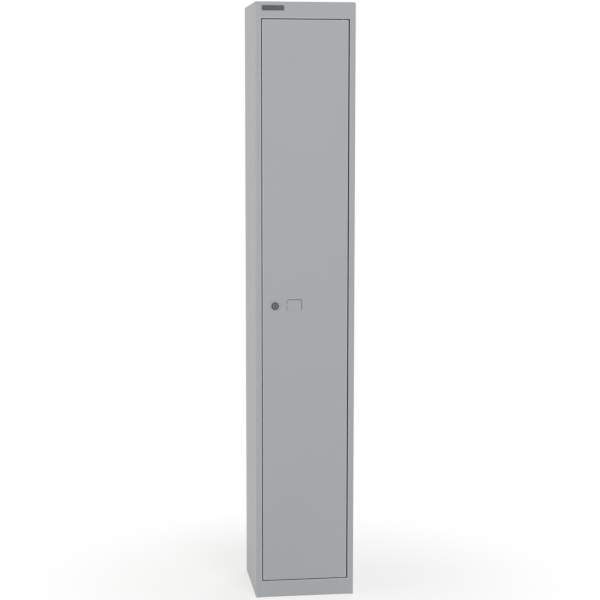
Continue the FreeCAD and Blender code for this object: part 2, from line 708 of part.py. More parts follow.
def door_buffers():
    """Rubber buttons on the lock-side lip, with stems through it and bulbs behind."""
    body = new_body("door_buffers")
    face = f"({DOOR_REAR} + buffer_clear)"
    bulb_end = f"({LOCK_LIP_BACK} + buffer_bulb_thick)"
    for name, low, high, wide in (
        ("buttons", face, LOCK_LIP, "buffer_wide"),
        ("stems", LOCK_LIP, LOCK_LIP_BACK, "buffer_stem"),
        ("bulbs", LOCK_LIP_BACK, bulb_end, "buffer_bulb"),
    ):
        pad(body, name, "XZ", low, high, *[buffer_circle(z, f"{wide} / 2") for z in buffer_heights()])
    round_edges(body, "button_edge", "buffer_clear", {"y": face})


def pivot_plate(label, low):
    """Plate welded inside a rail to stiffen it about the hinge pin."""
    body = new_body(label)
    outline = rectangle(inset(PIVOT_X, "plate_reach"), outset(FRONT_IN, "plate_clear"),
                        inset(RAIL_END, "plate_clear"), f"({RAIL_BACK} - sheet - plate_clear)")
    hole = pivot_circle("pin_wide", "hole_clear")
    pad(body, "plate", "XY", low, outset(low, "hinge_plate"), outline, hole)


def hinge_plate(label, low):
    """Plate welded inside the door to hold a hinge bush, never narrower than the hole and its webs."""
    body = new_body(label)
    hole = pivot_circle("bush_wide", "hole_clear")
    front = f"min({FRONT_IN} + plate_clear; {PIVOT_Y} - {hole.radius} - plate_web)"
    rear = f"max({DOOR_REAR} - sheet - plate_clear; {PIVOT_Y} + {hole.radius} + plate_web)"
    outline = rectangle(inset(PIVOT_X, "plate_reach"), front, f"({DOOR_RIGHT} - sheet - plate_clear)", rear)
    pad(body, "plate", "XY", low, outset(low, "hinge_plate"), outline, hole)


def upper_hinge_pin():
    """Pin hanging from the header's pivot plate into the door's top."""
    body = new_body("upper_hinge_pin")
    end = f"({DOOR_HIGH} - pin_reach)"
    seat = f"({OPEN_HIGH} + sheet + hinge_plate)"
    pad(body, "shank", "XY", end, seat, pivot_circle("pin_wide"))
    pad(body, "head", "XY", seat, outset(seat, "pin_head_thick"), pivot_circle("pin_head_wide"))
    point_pin(body, end)


def lower_hinge_pin():
    """Pin standing on the plinth's pivot plate, with a shoulder that carries the door."""
    body = new_body("lower_hinge_pin")
    end = f"({DOOR_LOW} + pin_reach)"
    seat = f"({OPEN_LOW} - sheet - hinge_plate)"
    shoulder = f"({DOOR_LOW} - rim_thick - rim_float)"
    pad(body, "shank", "XY", seat, end, pivot_circle("pin_wide"))
    pad(body, "head", "XY", inset(seat, "pin_head_thick"), seat, pivot_circle("pin_head_wide"))
    pad(body, "shoulder", "XY", OPEN_LOW, shoulder, pivot_circle("shoulder_wide"))
    point_pin(body, end)


def point_pin(body, end):
    """Chamfer the free end of a pin."""
    base = body.Tip
    feature = body.newObject("PartDesign::Chamfer", f"{body.Name}_point")
    feature.Base = (base, edges_at(base.Shape, {"z": end}))
    feature.setExpression("Size", cells("pin_point"))
    body.Tip = feature
    doc.recompute()


def upper_hinge_bush():
    """Nylon bush in the door's top: barrel in the hinge plate, rim below the header."""
    rim_top = outset(DOOR_HIGH, "rim_thick")
    hinge_bush("upper_hinge_bush", (inset(DOOR_HIGH, "bush_long"), DOOR_HIGH), (DOOR_HIGH, rim_top))


def lower_hinge_bush():
    """Nylon bush in the door's bottom: barrel in the hinge plate, rim on the pin's shoulder."""
    rim_low = inset(DOOR_LOW, "rim_thick")
    hinge_bush("lower_hinge_bush", (DOOR_LOW, outset(DOOR_LOW, "bush_long")), (rim_low, DOOR_LOW))


def hinge_bush(label, barrel, rim):
    """Bored barrel and rim, each between two heights."""
    body = new_body(label)
    bore = pivot_circle("pin_wide", "pin_fit")
    pad(body, "barrel", "XY", *barrel, pivot_circle("bush_wide"), bore)
    pad(body, "rim", "XY", *rim, pivot_circle("rim_wide"), bore)


def door_edges(y, shift="0"):
    """Places of the four edges round the door at one depth, moved inwards by a distance."""
    return [
        {"y": y, "x": outset(DOOR_LEFT, shift)},
        {"y": y, "x": inset(DOOR_RIGHT, shift)},
        {"y": y, "z": outset(DOOR_LOW, shift)},
        {"y": y, "z": inset(DOOR_HIGH, shift)},
    ]


def door_outline(shift):
    """Rectangle of the door, moved inwards by a distance."""
    return rectangle(outset(DOOR_LEFT, shift), outset(DOOR_LOW, shift),
                     inset(DOOR_RIGHT, shift), inset(DOOR_HIGH, shift))


def card_outline(left, low, right, high, radius=None):
    """Rectangle inside the card cut-out, moved in from each of its edges."""
    card_left = f"({LOCK_X} + card_offset)"
    card_low = f"({LOCK_Z} + card_rise - card_high / 2)"
    return rectangle(outset(card_left, left), outset(card_low, low), f"({card_left} + card_wide - {right})",
                     f"({card_low} + card_high - {high})", radius)


def door_skin():
    """Door pan: front, four returns and rear lips, pierced for lock, card holder and bushes."""
    body = new_body("door_skin")
    lip_front = inset(DOOR_REAR, "sheet")
    pad(body, "block", "XZ", FRONT, DOOR_REAR, door_outline("0"))
    cut(body, "hollow", "XZ", FRONT_IN, DOOR_REAR, door_outline("sheet"))
    round_edges(body, "inner_fold", "door_fold - sheet", {"y": FRONT_IN})
    round_edges(body, "outer_fold", "door_fold", {"y": FRONT})
    pad(body, "lips", "XZ", lip_front, DOOR_REAR, door_outline("0"), door_outline("door_lip"))
    round_edges(body, "inner_lip_fold", "door_fold - sheet", *door_edges(lip_front, "sheet"))
    round_edges(body, "outer_lip_fold", "door_fold", *door_edges(DOOR_REAR))
    cut(body, "card_hole", "XZ", FRONT, FRONT_IN, card_outline("0", "0", "0", "0", "card_round"))
    lock_hole(body)
    bush_hole = pivot_circle("bush_wide", "hole_clear")
    cut(body, "upper_bush_hole", "XY", inset(DOOR_HIGH, "sheet"), DOOR_HIGH, bush_hole)
    cut(body, "lower_bush_hole", "XY", DOOR_LOW, outset(DOOR_LOW, "sheet"), bush_hole)


def lock_hole(body):
    """Pierce the door for the barrel, leaving flats that keep it from turning."""
    radius = "(barrel_wide / 2 + hole_clear)"
    cut(body, "barrel_hole", "XZ", FRONT, FRONT_IN, Circle(LOCK_X, LOCK_Z, radius))
    for name, sign in (("left_flat", "-1"), ("right_flat", "1")):
        near = f"({LOCK_X} + {sign} * (barrel_flat / 2 + hole_clear))"
        far = f"({LOCK_X} + {sign} * bezel_wide / 2)"
        pad(body, name, "XZ", FRONT, FRONT_IN,
            rectangle(near, inset(LOCK_Z, "barrel_flat / 2"), far, outset(LOCK_Z, "barrel_flat / 2")))


def door_stiffener():
    """Hat section welded up the inside of the door."""
    body = new_body("door_stiffener")
    middle = f"(({DOOR_LEFT} + {DOOR_RIGHT}) / 2 + stiff_offset)"
    left, right = inset(middle, "stiff_wide / 2"), outset(middle, "stiff_wide / 2")
    crown = outset(FRONT_IN, "stiff_high")
    crown_in = inset(crown, "sheet")
    foot = outset(FRONT_IN, "sheet")
    left_in, right_in = outset(left, "sheet"), inset(right, "sheet")
    left_end, right_end = inset(left, "stiff_foot"), outset(right, "stiff_foot")
    pad(body, "hat", "XY", outset(DOOR_LOW, "stiff_inset"), inset(DOOR_HIGH, "stiff_inset"), [
        (left_end, FRONT_IN),
        (left_in, FRONT_IN, "fold"),
        (left_in, crown_in, "(fold - sheet)"),
        (right_in, crown_in, "(fold - sheet)"),
        (right_in, FRONT_IN, "fold"),
        (right_end, FRONT_IN),
        (right_end, foot),
        (right, foot, "(fold - sheet)"),
        (right, crown, "fold"),
        (left, crown, "fold"),
        (left, foot, "(fold - sheet)"),
        (left_end, foot),
    ])


def card_holder():
    """Card plate in the door's cut-out: flange behind two edges, open slit round the rest, label field."""
    body = new_body("card_holder")
    face = outset(FRONT, "card_sink")
    field = outset(face, "field_deep")
    flange_back = outset(FRONT_IN, "card_thick")
    corner = "(card_round - card_snug)"
    pad(body, "flange", "XZ", FRONT_IN, flange_back,
        card_outline("-card_flange", "-card_flange", "card_slit", "card_slit", corner))
    pad(body, "plate", "XZ", face, FRONT_IN,
        card_outline("card_snug", "card_snug", "card_slit", "card_slit", corner))
    past_slit = "(card_wide - card_slit)"
    past_return = "(card_high - card_return)"
    cut(body, "lower_return", "XZ", face, flange_back, card_outline("0", "0", past_slit, past_return))
    cut(body, "upper_return", "XZ", face, flange_back, card_outline("0", past_return, past_slit, "0"))
    edge = "(field_margin + card_slit)"
    cut(body, "field", "XZ", face, field, card_outline(edge, edge, edge, edge, "field_round"))


def lock_circle(diameter, clearance="0"):
    """Circle about the lock axis."""
    return Circle(LOCK_X, LOCK_Z, f"({diameter} / 2 + {clearance})")


def lock_body():
    """Bezel and flatted barrel, bored and counterbored for the plug."""
    body = new_body("lock_body")
    pad(body, "bezel", "XZ", BEZEL_FACE, FRONT, lock_circle("bezel_wide"))
    round_edges(body, "bezel_rim", "bezel_round", {"y": BEZEL_FACE})
    pad(body, "barrel", "XZ", FRONT, LOCK_LIP_BACK, lock_circle("barrel_wide"))
    for name, sign in (("left_flat", "-1"), ("right_flat", "1")):
        near = f"({LOCK_X} + {sign} * barrel_flat / 2)"
        far = f"({LOCK_X} + {sign} * barrel_wide)"
        cut(body, name, "XZ", FRONT, LOCK_LIP_BACK,
            rectangle(near, inset(LOCK_Z, "barrel_wide"), far, outset(LOCK_Z, "barrel_wide")))
    cut(body, "bore", "XZ", BEZEL_FACE, LOCK_LIP_BACK, lock_circle("plug_wide", "plug_fit"))
    cut(body, "counterbore", "XZ", BEZEL_FACE, PLUG_STEP, lock_circle("plug_face", "plug_fit"))


def lock_washer():
    """Washer inside the door."""
    body = new_body("lock_washer")
    bore = lock_circle("barrel_wide", "hole_clear")
    pad(body, "ring", "XZ", FRONT_IN, NUT_SEAT, lock_circle("washer_wide"), bore)


def lock_nut():
    """Hexagon nut that clamps the lock to the door."""
    body = new_body("lock_nut")
    tip = "nut_flats / sqrt(3)"
    half = "nut_flats / 2"
    hexagon = [
        (outset(LOCK_X, tip), LOCK_Z),
        (outset(LOCK_X, f"{tip} / 2"), outset(LOCK_Z, half)),
        (inset(LOCK_X, f"{tip} / 2"), outset(LOCK_Z, half)),
        (inset(LOCK_X, tip), LOCK_Z),
        (inset(LOCK_X, f"{tip} / 2"), inset(LOCK_Z, half)),
        (outset(LOCK_X, f"{tip} / 2"), inset(LOCK_Z, half)),
    ]
    pad(body, "hexagon", "XZ", NUT_SEAT, outset(NUT_SEAT, "nut_thick"), hexagon,
        lock_circle("barrel_wide", "hole_clear"))


def lock_square(half_wide, half_high):
    """Rectangle centred on the lock axis."""
    return rectangle(inset(LOCK_X, half_wide), inset(LOCK_Z, half_high),
                     outset(LOCK_X, half_wide), outset(LOCK_Z, half_high))


def wafer_start(index):
    """Front face of one wafer."""
    return f"({PLUG_STEP} + wafer_start + {index} * wafer_pitch)"


def lock_plug():
    """Turning core: face disc, barrel with wafer slots and keyway, square tail for the cam."""
    body = new_body("lock_plug")
    pad(body, "face", "XZ", PLUG_FACE, PLUG_STEP, lock_circle("plug_face"))
    round_edges(body, "face_rim", "plug_round", {"y": PLUG_FACE})
    pad(body, "core", "XZ", PLUG_STEP, CAM_FACE, lock_circle("plug_wide"))
    pad(body, "tail", "XZ", CAM_FACE, CAM_BACK, lock_square("tail_square / 2", "tail_square / 2"))
    slot = lock_square("(wafer_wide / 2 + wafer_fit)", "plug_wide")
    for index in range(WAFERS):
        front = inset(wafer_start(index), "wafer_fit")
        rear = f"({wafer_start(index)} + wafer_thick + wafer_fit)"
        cut(body, f"slot_{index + 1}", "XZ", front, rear, slot)
    key_end = outset(PLUG_FACE, "key_deep")
    cut(body, "keyway", "XZ", PLUG_FACE, key_end, lock_square("key_wide / 2", "key_high / 2"))
    screw_end = inset(CAM_BACK, "screw_long")
    cut(body, "thread", "XZ", screw_end, CAM_BACK, lock_circle("screw_wide", "hole_clear"))


def lock_wafers():
    """Wafers in the plug's slots, each with its key window."""
    body = new_body("lock_wafers")
    plate = lock_square("wafer_wide / 2", "wafer_high / 2")
    window = lock_square("key_wide / 2", "wafer_window / 2")
    for index in range(WAFERS):
        front = wafer_start(index)
        pad(body, f"wafer_{index + 1}", "XZ", front, outset(front, "wafer_thick"), plate, window)


def lock_cam():
    """Flat cam on the plug's tail, hanging down when the lock is open."""
    body = new_body("lock_cam")
    outline = rectangle(inset(LOCK_X, "cam_wide / 2"), inset(LOCK_Z, "cam_reach"),
                        outset(LOCK_X, "cam_wide / 2"), outset(LOCK_Z, "cam_tail"), "cam_round")
    half = "(tail_square / 2 + tail_fit)"
    pad(body, "blade", "XZ", CAM_FACE, CAM_BACK, outline, lock_square(half, half))


def cam_screw():
    """Screw that holds the cam on the plug's tail."""
    body = new_body("cam_screw")
    head_back = outset(CAM_BACK, "screw_head_thick")
    pad(body, "shank", "XZ", inset(CAM_BACK, "screw_long"), CAM_BACK, lock_circle("screw_wide"))
    pad(body, "head", "XZ", CAM_BACK, head_back, lock_circle("screw_head"))
    round_edges(body, "head_edge", "screw_head_thick / 2", {"y": head_back})


def build():
    """Make every sub-part, carcass first, then door and lock."""
    left_side_panel()
    right_side_panel()
    back_panel()
    top_panel()
    floor_panel()
    header_rail()
    plinth_rail()
    hat_shelf()
    shelf_runner("left_shelf_runner", "-1")
    shelf_runner("right_shelf_runner", "1")
    rivets("shelf_rivets", all_shelf_rivet_circles, inset(SHELF_UNDER, "runner_thick"))
    coat_hook()
    rivets("hook_rivets", hook_rivet_circles, HOOK_FACE)
    label_plate()
    door_buffers()
    pivot_plate("upper_pivot_plate", f"({OPEN_HIGH} + sheet)")
    pivot_plate("lower_pivot_plate", f"({OPEN_LOW} - sheet - hinge_plate)")
    upper_hinge_pin()
    lower_hinge_pin()
    door_skin()
    door_stiffener()
    hinge_plate("upper_hinge_plate", f"({DOOR_HIGH} - sheet - hinge_plate)")
    hinge_plate("lower_hinge_plate", f"({DOOR_LOW} + sheet)")
    upper_hinge_bush()
    lower_hinge_bush()
    card_holder()
    lock_body()
    lock_washer()
    lock_nut()
    lock_plug()
    lock_wafers()
    lock_cam()
    cam_screw()


def check():
    """Stop if any object failed or any sub-part has no sound shape."""
    failed = [item.Label for item in doc.Objects if {"Invalid", "Error"} & set(item.State)]
    failed += [body.Label for body in sub_parts if body.Shape.isNull() or not body.Shape.isValid()]
    if failed:
        raise ValueError("not sound: " + ", ".join(failed))


def write():
    """Write each sub-part's shape to its own file."""
    os.makedirs("parts", exist_ok=True)
    for body in sub_parts:
        body.Shape.exportStep(f"parts/{body.Label}.step")


build()
doc.recompute()
check()
write()
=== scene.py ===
"""Looks of a one-door steel locker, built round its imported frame.

Units are metres in the frame's own axes: X to the right, Y to the rear, Z up, origin on the floor.
"""

import logging
import math
from abc import ABC, abstractmethod
from dataclasses import dataclass
from enum import Enum
from typing import Mapping, Optional, Sequence, Union

import bmesh
import bpy
from mathutils import Euler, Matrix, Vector


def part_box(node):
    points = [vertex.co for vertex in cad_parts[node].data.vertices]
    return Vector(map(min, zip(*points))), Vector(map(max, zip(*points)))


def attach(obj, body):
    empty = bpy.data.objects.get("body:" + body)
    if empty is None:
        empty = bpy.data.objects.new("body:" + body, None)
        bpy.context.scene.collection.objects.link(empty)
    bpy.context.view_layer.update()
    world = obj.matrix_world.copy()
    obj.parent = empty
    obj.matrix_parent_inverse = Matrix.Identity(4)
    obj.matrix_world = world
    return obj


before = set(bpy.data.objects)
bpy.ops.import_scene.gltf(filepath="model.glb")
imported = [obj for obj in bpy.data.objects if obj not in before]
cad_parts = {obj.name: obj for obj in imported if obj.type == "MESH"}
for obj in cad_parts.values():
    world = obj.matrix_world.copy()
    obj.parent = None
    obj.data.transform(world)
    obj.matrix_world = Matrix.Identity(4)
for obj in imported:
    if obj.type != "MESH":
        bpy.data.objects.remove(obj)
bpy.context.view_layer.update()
MM = 0.001
UP = Vector((0, 0, 1))
REARWARD = Vector((0, 1, 0))
WHITE = (1.0, 1.0, 1.0)
NOISE_MIDDLE = 0.5
LEVEL_PITCH = 90.0
log = logging.getLogger("locker")

Colour = tuple[float, float, float]
Triple = tuple[float, float, float]
Span = tuple[float, float]
Outline = Sequence[tuple[float, float]]
Number = Union["Value", float]
Content = Union["Value", bpy.types.NodeSocket, float, Sequence[float]]


class Body(Enum):
    """Bodies of the frame that the new pieces ride on."""

    CARCASS = "carcass"
    DOOR = "door"


class Slot(Enum):
    """Slots of the record; the script lists them but does not use them."""

    GREY_PAINT = "grey_paint"
    DARK_PLATE = "dark_plate"


class Operation(Enum):
    """Math nodes that stand behind the operators and methods of a value."""

    ADD = "ADD"
    SUBTRACT = "SUBTRACT"
    MULTIPLY = "MULTIPLY"
    MAXIMUM = "MAXIMUM"
    ABSOLUTE = "ABSOLUTE"
    SINE = "SINE"
    SQRT = "SQRT"


class Output(Enum):
    """Nodes that end a tree."""

    MATERIAL = "ShaderNodeOutputMaterial"
    WORLD = "ShaderNodeOutputWorld"


class Value:
    """Number that changes over a surface; its operators add Math nodes."""

    def __init__(self, graph: "Graph", socket: bpy.types.NodeSocket) -> None:
        """Wrap an output socket of a graph."""
        self.graph = graph
        self.socket = socket

    def __add__(self, other: Number) -> "Value":
        """Sum."""
        return self.graph.math(Operation.ADD, self, other)

    def __sub__(self, other: Number) -> "Value":
        """Difference."""
        return self.graph.math(Operation.SUBTRACT, self, other)

    def __rsub__(self, other: Number) -> "Value":
        """Difference from a number."""
        return self.graph.math(Operation.SUBTRACT, other, self)

    def __mul__(self, other: Number) -> "Value":
        """Product."""
        return self.graph.math(Operation.MULTIPLY, self, other)

    def __abs__(self) -> "Value":
        """Size without sign."""
        return self.graph.math(Operation.ABSOLUTE, self)

    __radd__ = __add__
    __rmul__ = __mul__

    def most(self, other: Number) -> "Value":
        """Larger of two values."""
        return self.graph.math(Operation.MAXIMUM, self, other)

    def root(self) -> "Value":
        """Square root."""
        return self.graph.math(Operation.SQRT, self)

    def swing(self, width: float) -> "Value":
        """Noise as a swing about 0, half the width to each side."""
        return (self - NOISE_MIDDLE) * width

    def wave(self, pitch: float) -> "Value":
        """Turn a length into a wave.

        Args:
            pitch: length of one repeat.

        Returns:
            A sine wave between 0 and 1.
        """
        angle = self * (2 * math.pi / pitch)
        return (self.graph.math(Operation.SINE, angle) + 1) * 0.5

    def fade(self, low: float, high: float) -> "Value":
        """Turn a value into a smooth step.

        Args:
            low: where the step starts from 0.
            high: where the step reaches 1.

        Returns:
            0 up to low, 1 from high on, and a smooth rise between.
        """
        node = self.graph.node(
            "ShaderNodeMapRange",
            {"interpolation_type": "SMOOTHSTEP"},
            {"Value": self, "From Min": low, "From Max": high},
        )
        return Value(self.graph, node.outputs["Result"])


class Graph:
    """Node tree of a material or of the world."""

    def __init__(self, tree: bpy.types.NodeTree) -> None:
        """Empty a tree and take it over."""
        tree.nodes.clear()
        self.tree = tree

    def node(
        self,
        kind: str,
        settings: Optional[Mapping[str, object]] = None,
        sockets: Optional[Mapping[str, Content]] = None,
    ) -> bpy.types.Node:
        """Add a node.

        Args:
            kind: Blender's name for the node's type.
            settings: properties of the node, set before its sockets.
            sockets: a value or link for each input, by the socket's identifier or name.

        Returns:
            The new node.
        """
        made = self.tree.nodes.new(kind)
        for name, setting in (settings or {}).items():
            setattr(made, name, setting)
        for key, content in (sockets or {}).items():
            socket = next(item for item in made.inputs if key in (item.identifier, item.name))
            self.feed(socket, content)
        return made

    def feed(self, socket: bpy.types.NodeSocket, content: Content) -> None:
        """Link a value or socket to an input, or set the input to a constant.

        Args:
            socket: the input.
            content: what goes into it.
        """
        if isinstance(content, Value):
            content = content.socket
        if isinstance(content, bpy.types.NodeSocket):
            self.tree.links.new(content, socket)
        elif socket.type == "RGBA":
            socket.default_value = (*content, 1.0)
        else:
            socket.default_value = content

    def math(self, operation: Operation, *operands: Number) -> Value:
        """Add a Math node.

        Args:
            operation: what it works out.
            operands: its one or two inputs in order.

        Returns:
            The node's result.
        """
        inputs = dict(zip(("Value", "Value_001"), operands))
        node = self.node("ShaderNodeMath", {"operation": operation.value}, inputs)
        return Value(self, node.outputs["Value"])

    def place(self) -> bpy.types.NodeSocket:
        """Place on the piece at rest, in the frame's axes."""
        return self.node("ShaderNodeTexCoord").outputs["Object"]

    def split(self, vector: bpy.types.NodeSocket) -> tuple[Value, Value, Value]:
        """Take a vector apart.

        Args:
            vector: the vector.

        Returns:
            Its X, Y and Z parts.
        """
        node = self.node("ShaderNodeSeparateXYZ", sockets={"Vector": vector})
        x, y, z = (Value(self, socket) for socket in node.outputs)
        return x, y, z

    def stretch(self, vector: bpy.types.NodeSocket, scale: Triple) -> bpy.types.NodeSocket:
        """Scale a vector by its own factor on each axis.

        Args:
            vector: the vector to scale.
            scale: one factor for each axis.

        Returns:
            The scaled vector.
        """
        inputs = {"Vector": vector, "Vector_001": scale}
        return self.node("ShaderNodeVectorMath", {"operation": "MULTIPLY"}, inputs).outputs["Vector"]

    def brighten(self, colour: bpy.types.NodeSocket, factor: Value) -> bpy.types.NodeSocket:
        """Make a colour lighter or darker.

        Args:
            colour: the colour to scale.
            factor: one factor for all its channels.

        Returns:
            The scaled colour.
        """
        inputs = {"Vector": colour, "Scale": factor}
        return self.node("ShaderNodeVectorMath", {"operation": "SCALE"}, inputs).outputs["Vector"]

    def noise(self, vector: bpy.types.NodeSocket, cell: float, detail: float = 0.0) -> Value:
        """Add soft noise.

        Args:
            vector: place to read it at.
            cell: size of its patches.
            detail: octaves of finer noise.

        Returns:
            The noise, from 0 to 1.
        """
        inputs = {"Vector": vector, "Scale": 1 / cell, "Detail": detail}
        return Value(self, self.node("ShaderNodeTexNoise", sockets=inputs).outputs["Fac"])

    def tint(self, under: Content, over: Content, amount: Number) -> bpy.types.NodeSocket:
        """Lay one colour over another.

        Args:
            under: colour below.
            over: colour above.
            amount: how much of the upper colour counts, 0 to 1.

        Returns:
            The resulting colour.
        """
        node = self.node(
            "ShaderNodeMix",
            {"data_type": "RGBA"},
            {"Factor_Float": amount, "A_Color": under, "B_Color": over},
        )
        return next(item for item in node.outputs if item.identifier == "Result_Color")

    def relief(self, height: Value) -> bpy.types.NodeSocket:
        """Normal of a surface whose relief is given in metres."""
        return self.node("ShaderNodeBump", sockets={"Height": height, "Distance": 1.0}).outputs["Normal"]

    def surface(self, sockets: Mapping[str, Content]) -> None:
        """Finish a material with one Principled shader that has these inputs."""
        self.show(Output.MATERIAL, self.node("ShaderNodeBsdfPrincipled", sockets=sockets))

    def mix(self, share: Value, first: bpy.types.Node, second: bpy.types.Node) -> bpy.types.Node:
        """Mix two shaders.

        Args:
            share: how much of the second one counts, 0 to 1.
            first: shader that shows where the share is 0.
            second: shader that shows where the share is 1.

        Returns:
            The mixed shader.
        """
        inputs = {"Fac": share, "Shader": first.outputs[0], "Shader_001": second.outputs[0]}
        return self.node("ShaderNodeMixShader", sockets=inputs)

    def show(self, output: Output, shader: bpy.types.Node) -> None:
        """End the tree with a shader."""
        self.node(output.value, sockets={"Surface": shader.outputs[0]})

    def seen_directly(self) -> Value:
        """Tell what is looked at from what only gives light.

        Returns:
            1 where the camera, a mirror or a clear piece looks, and 0 for light that falls on things.
        """
        path = self.node("ShaderNodeLightPath")
        rays = ("Is Camera Ray", "Is Glossy Ray", "Is Transmission Ray")
        camera, glossy, clear = (Value(self, path.outputs[name]) for name in rays)
        return camera.most(glossy).most(clear)


class Finish(ABC):
    """Surface finish; makes its material once and hands it out again.

    In the fields of a finish, a cell is the size of a pattern's patches and a height is its relief. A tone
    and a gloss are how far it moves brightness and roughness. A share is how much of another colour it lays
    over, and a span, start or end is where that colour fades in or out.
    """

    name: str

    def material(self) -> bpy.types.Material:
        """Make the material on the first call, and find it again after that.

        Returns:
            The material.
        """
        made = bpy.data.materials.get(self.name)
        if made is None:
            made = bpy.data.materials.new(self.name)
            made.use_nodes = True
            self.shade(Graph(made.node_tree))
        return made

    @abstractmethod
    def shade(self, graph: Graph) -> None:
        """Fill the material's tree.

        Args:
            graph: the empty tree.
        """


@dataclass(frozen=True)
class PowderCoat(Finish):
    """Baked powder paint: orange peel, clouding, painted highlight and painted shade at the door gap, dust
    and painted light at the foot.
    """

    name: str = "powder_coat_grey"
    colour: Colour = (0.356, 0.379, 0.399)
    roughness: float = 0.44
    cloud_cell: float = 220 * MM
    cloud_tone: float = 0.06
    cloud_gloss: float = 0.10
    peel_cell: float = 1.3 * MM
    peel_height: float = 0.03 * MM
    peel_tone: float = 0.08
    peel_gloss: float = 0.06
    grain_cell: float = 0.35 * MM
    grain_tone: float = 0.22
    wave_cell: float = 340 * MM
    wave_stretch: Triple = (1.0, 1.0, 0.45)
    wave_height: float = 0.7 * MM
    gap_middle: float = 1.4 * MM
    gap_reach: Span = (2.4 * MM, 5.5 * MM)
    patch_cell: float = 55 * MM
    patch_tone: float = 0.5
    # painted highlight: a lighter band on the folds beside the door gap, for the light that they catch
    painted_fold_highlight: Colour = (0.52, 0.54, 0.555)
    painted_highlight_depth: Span = (0.8 * MM, 1.6 * MM)
    painted_highlight_share: float = 0.5
    # painted shade: the edges and jambs inside the door gap are darkened where shade falls
    painted_gap_shade: Colour = (0.15, 0.155, 0.16)
    gap_shade_start: Span = (1.2 * MM, 3 * MM)
    gap_shade_end: Span = (8 * MM, 15 * MM)
    gap_shade_share: float = 0.6
    # lighter towards the foot: partly dust, partly painted light that lifts the plinth
    foot_dust_and_light: Colour = (0.43, 0.44, 0.445)
    foot_band_height: float = 70 * MM
    foot_dust_and_light_share: float = 0.25

    def shade(self, graph: Graph) -> None:
        """Mottle the colour with its painted light, painted shade and dust, and bend the surface with peel
        and wide, low waves.

        Args:
            graph: the empty tree.
        """
        place = graph.place()
        cloud = graph.noise(place, self.cloud_cell, detail=2.0)
        peel = graph.noise(place, self.peel_cell, detail=1.0)
        grain = graph.noise(place, self.grain_cell)
        wave = graph.noise(graph.stretch(place, self.wave_stretch), self.wave_cell)
        mottle = 1 + cloud.swing(self.cloud_tone) + grain.swing(self.grain_tone) + peel.swing(self.peel_tone)
        graph.surface({
            "Base Color": graph.brighten(self.painted_light_and_dust(graph, place), mottle),
            "Roughness": self.roughness + cloud.swing(self.cloud_gloss) + peel.swing(self.peel_gloss),
            "Normal": graph.relief(peel * self.peel_height + wave * self.wave_height),
        })

    def painted_light_and_dust(self, graph: Graph, place: bpy.types.NodeSocket) -> bpy.types.NodeSocket:
        """Paint a highlight on the folds beside the door gap, paint shade into the gap, and lighten the foot
        with dust and painted light.

        Args:
            graph: tree of the material.
            place: place on the piece.

        Returns:
            The colour with its painted highlight, painted shade, dust and painted light.
        """
        x, y, z = graph.split(place)
        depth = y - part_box("door_skin")[0].y
        patchy = 1 + graph.noise(place, self.patch_cell, detail=3.0).swing(self.patch_tone)
        beside_gap = self.beside_gap(x, z) * patchy
        # painted highlight on the folds at the mouth of the gap
        fold_highlight_mask = beside_gap * (1 - depth.fade(*self.painted_highlight_depth))
        # painted shade deeper inside the gap
        gap_shade_mask = beside_gap * depth.fade(*self.gap_shade_start) * (1 - depth.fade(*self.gap_shade_end))
        # lighter towards the foot, partly dust and partly painted light
        ragged = z + graph.noise(place, self.foot_band_height, detail=3.0).swing(self.foot_band_height)
        dust_and_light_mask = 1 - ragged.fade(0.0, self.foot_band_height)
        colour = graph.tint(self.colour, self.painted_fold_highlight, fold_highlight_mask * self.painted_highlight_share)
        colour = graph.tint(colour, self.painted_gap_shade, gap_shade_mask * self.gap_shade_share)
        return graph.tint(colour, self.foot_dust_and_light, dust_and_light_mask * self.foot_dust_and_light_share)

    def beside_gap(self, x: Value, z: Value) -> Value:
        """Find what lies beside the gap round the door, seen from the front.

        Args:
            x: place across the front.
            z: place up the front.

        Returns:
            1 close to the gap and 0 away from it.
        """
        low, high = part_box("door_skin")
        middle, half = (low + high) / 2, (high - low) / 2
        outside = (abs(x - middle.x) - half.x).most(abs(z - middle.z) - half.z)
        return 1 - abs(outside - self.gap_middle).fade(*self.gap_reach)


@dataclass(frozen=True)
class PlatedSteel(Finish):
    """Zinc plate on steel: faint blue and straw patches, fine drawn-out scratches."""

    name: str = "zinc_plate"
    colour: Colour = (0.40, 0.41, 0.415)
    roughness: float = 0.34
    patch_cell: float = 9 * MM
    patch_gloss: float = 0.1
    straw: Colour = (0.43, 0.40, 0.33)
    straw_span: Span = (0.5, 0.75)
    blue: Colour = (0.34, 0.37, 0.41)
    blue_end: Span = (0.3, 0.5)
    scratch_cell: float = 0.36 * MM
    scratch_stretch: Triple = (1.0, 0.08, 0.08)
    scratch_height: float = 0.005 * MM
    scratch_gloss: float = 0.25
    scratched: Colour = (0.20, 0.205, 0.21)
    scratch_span: Span = (0.45, 0.75)
    scratch_share: float = 0.35

    def shade(self, graph: Graph) -> None:
        """Tint the zinc in patches and scratch it.

        Args:
            graph: the empty tree.
        """
        place = graph.place()
        patch = graph.noise(place, self.patch_cell, detail=2.0)
        scratch = graph.noise(graph.stretch(place, self.scratch_stretch), self.scratch_cell, detail=2.0)
        colour = graph.tint(self.colour, self.straw, patch.fade(*self.straw_span))
        colour = graph.tint(colour, self.blue, 1 - patch.fade(*self.blue_end))
        scored = scratch.fade(*self.scratch_span) * self.scratch_share
        graph.surface({
            "Base Color": graph.tint(colour, self.scratched, scored),
            "Metallic": 1.0,
            "Roughness": self.roughness + scratch.swing(self.scratch_gloss) + patch.swing(self.patch_gloss),
            "Normal": graph.relief(scratch * self.scratch_height),
        })


